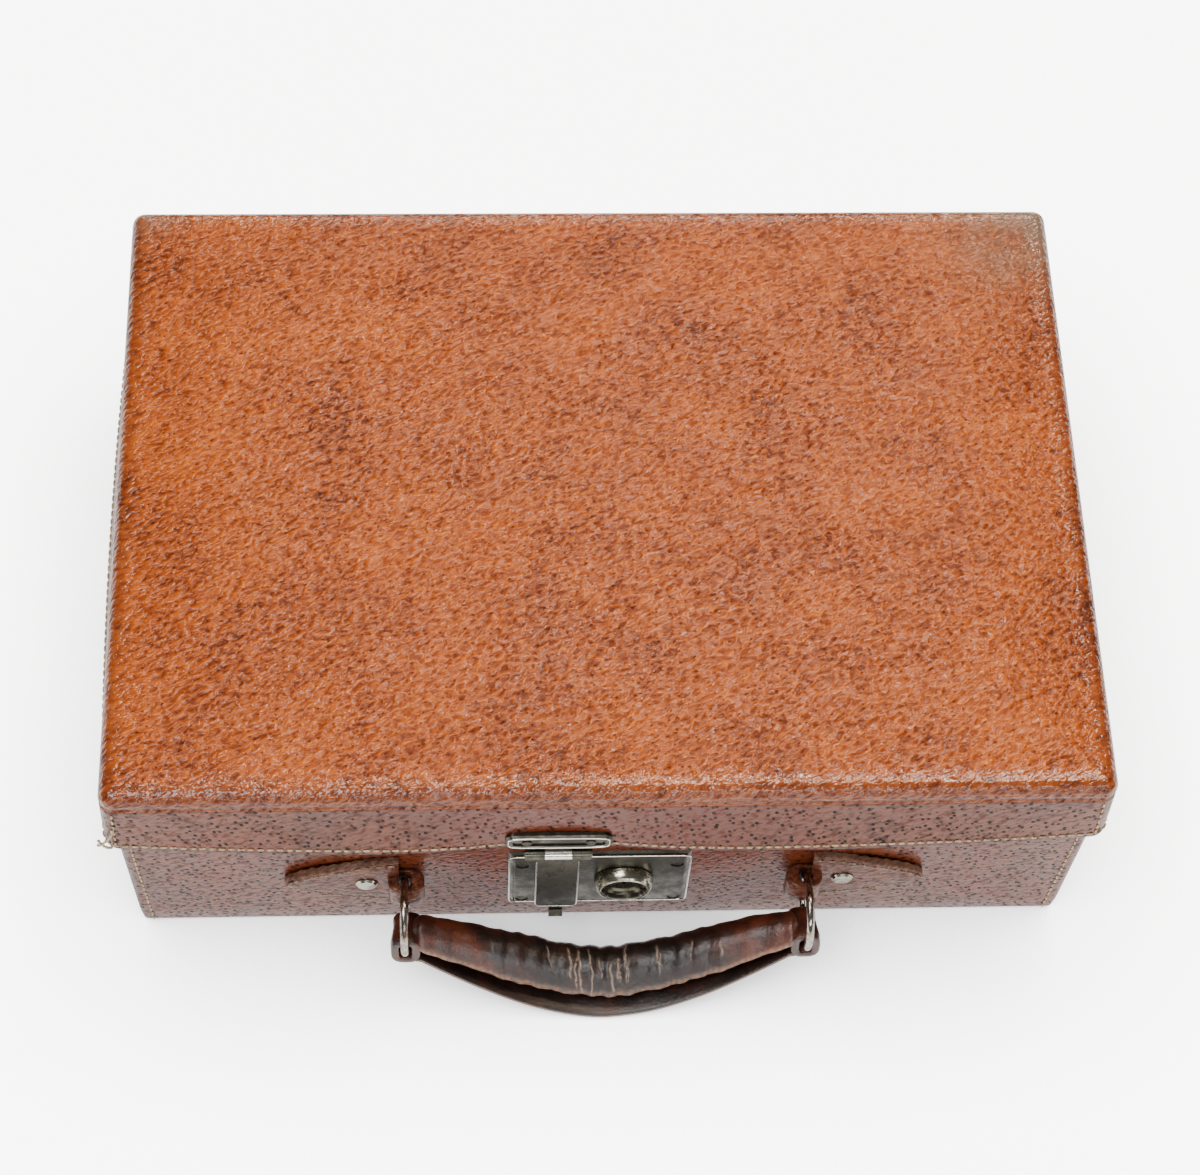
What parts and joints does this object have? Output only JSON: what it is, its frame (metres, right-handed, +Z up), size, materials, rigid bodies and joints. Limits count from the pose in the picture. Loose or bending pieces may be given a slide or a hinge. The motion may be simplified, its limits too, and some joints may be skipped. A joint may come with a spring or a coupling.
{
  "type": "toiletry case",
  "caption": "Leather toiletry case with a stop-hinged lid, a hasp over a sliding lock and a rolled handle on two rings.",
  "frame": {"origin": "middle of the base's underside, on the surface that the case stands on", "axes": "+X along the front to the right, +Y to the hinged back, +Z up; the lock and handle face -Y"},
  "size_m": [0.3586, 0.3029, 0.1143],
  "materials": {
    "top_leather": "polished pigskin, tan orange",
    "side_leather": "waxed pigskin, brown",
    "trim_leather": "stitched pigskin trim",
    "handle_leather": "hand-polished bridle leather",
    "lining": "thin skiver lining",
    "board": "sawn pine board",
    "core_cord": "laid hemp cord",
    "nickel": "tarnished nickel plate",
    "steel": "plain steel"
  },
  "bodies": {
    "base": {"base_bottom_leather": "side_leather", "base_front_leather": "side_leather", "base_back_leather": "side_leather", "base_left_leather": "side_leather", "base_right_leather": "side_leather", "base_floor_board": "board", "base_front_board": "board", "base_back_board": "board", "base_left_board": "board", "base_right_board": "board", "base_lining": "lining", "base_rim_binding": "trim_leather", "hinge_base_leaves": "nickel", "hinge_pins": "steel", "hinge_base_rivets": "nickel", "lock_plate": "nickel", "lock_rivets": "nickel", "lock_case": "steel", "lock_spring": "steel", "left_chape": "trim_leather", "right_chape": "trim_leather", "chape_rivets": "nickel"},
    "lid": {"lid_top_leather": "top_leather", "lid_front_leather": "side_leather", "lid_back_leather": "side_leather", "lid_left_leather": "side_leather", "lid_right_leather": "side_leather", "lid_top_board": "board", "lid_front_board": "board", "lid_back_board": "board", "lid_left_board": "board", "lid_right_board": "board", "lid_lining": "lining", "hinge_lid_leaves": "nickel", "hinge_lid_rivets": "nickel", "hasp_lid_plate": "nickel", "hasp_rivets": "nickel", "hasp_pin": "steel"},
    "hasp": {"hasp_flap": "nickel", "hasp_staple": "nickel"},
    "lock slide": {"lock_button": "nickel", "lock_bolt": "nickel"},
    "key barrel": {"key_barrel": "nickel"},
    "left ring": {"left_ring": "nickel"},
    "right ring": {"right_ring": "nickel"},
    "handle": {"handle_strap": "handle_leather", "handle_roll": "handle_leather", "handle_core": "core_cord"}
  },
  "joints": [
    {"name": "lid_hinge", "type": "hinge", "parent": "base", "child": "lid", "pos_m": [0, 0.13085, 0.078], "axis": [-1, 0, 0], "range_deg": [0, 100]},
    {"name": "hasp_hinge", "type": "hinge", "parent": "lid", "child": "hasp", "pos_m": [-0.018, -0.13015, 0.0734], "axis": [-1, 0, 0], "range_deg": [0, 120]},
    {"name": "lock_slide", "type": "slide", "parent": "base", "child": "lock slide", "axis": [-1, 0, 0], "range_m": [0, 0.005]},
    {"name": "key_turn", "type": "hinge", "parent": "lock slide", "child": "key barrel", "pos_m": [0.0069, -0.12354, 0.04108], "axis": [0, -0.9996, -0.0277], "range_deg": [0, 90]},
    {"name": "left_ring_turn", "type": "hinge", "parent": "base", "child": "left ring", "pos_m": [-0.0735, -0.13996, 0.04153], "axis": [-1, 0, 0], "continuous": true},
    {"name": "right_ring_turn", "type": "hinge", "parent": "base", "child": "right ring", "pos_m": [0.0735, -0.13996, 0.04153], "axis": [-1, 0, 0], "continuous": true},
    {"name": "handle_lift", "type": "hinge", "parent": "base", "child": "handle", "pos_m": [0, -0.13996, 0.04153], "axis": [-1, 0, 0], "range_deg": [0, 135]}
  ]
}
